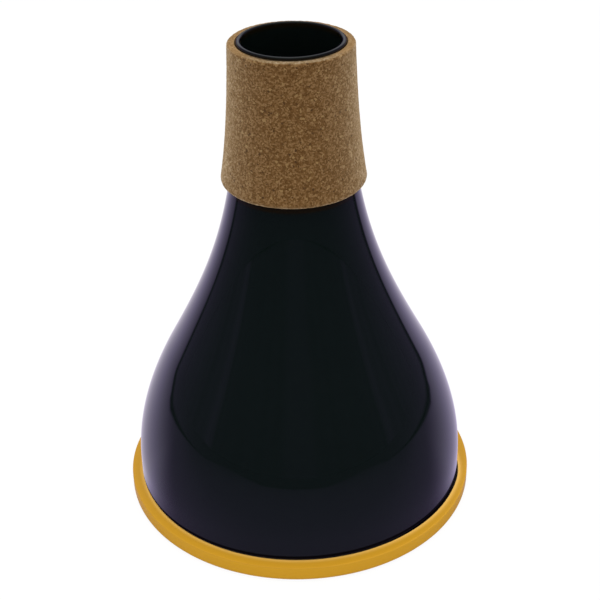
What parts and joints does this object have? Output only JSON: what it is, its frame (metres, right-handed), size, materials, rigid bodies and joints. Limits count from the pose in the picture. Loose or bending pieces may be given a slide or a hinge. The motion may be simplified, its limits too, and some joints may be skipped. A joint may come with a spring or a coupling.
{
  "type": "trumpet practice mute",
  "caption": "Closed practice mute for a trumpet: glossy bell-shaped shell, flared cork sleeve on its neck, and a flanged coloured cap that carries a vent tube and foam damping.",
  "frame": {"origin": "on the axis, in the plane of the cap's stand ring, which is the face the mute stands on", "axes": "+Z along the axis from the cap to the neck's open mouth; the piece is round, so X and Y are free"},
  "size_m": [0.09, 0.09, 0.121],
  "materials": {
    "shell_plastic": "polished black moulded ABS",
    "cork": "fine agglomerated cork, sanded, dry",
    "cap_plastic": "amber moulded plastic, satin",
    "seal_rubber": "matt black",
    "tube_plastic": "extruded black plastic",
    "bush_rubber": "matt black moulded rubber",
    "plate_plastic": "fine matt texture",
    "foam": "open-cell charcoal foam"
  },
  "bodies": {
    "root": {"body_shell": "shell_plastic", "cork_sleeve": "cork", "base_cap": "cap_plastic", "base_seal": "seal_rubber", "vent_tube": "tube_plastic", "tube_bush": "bush_rubber", "retainer_plate": "plate_plastic", "damping_pad": "foam"}
  },
  "joints": []
}
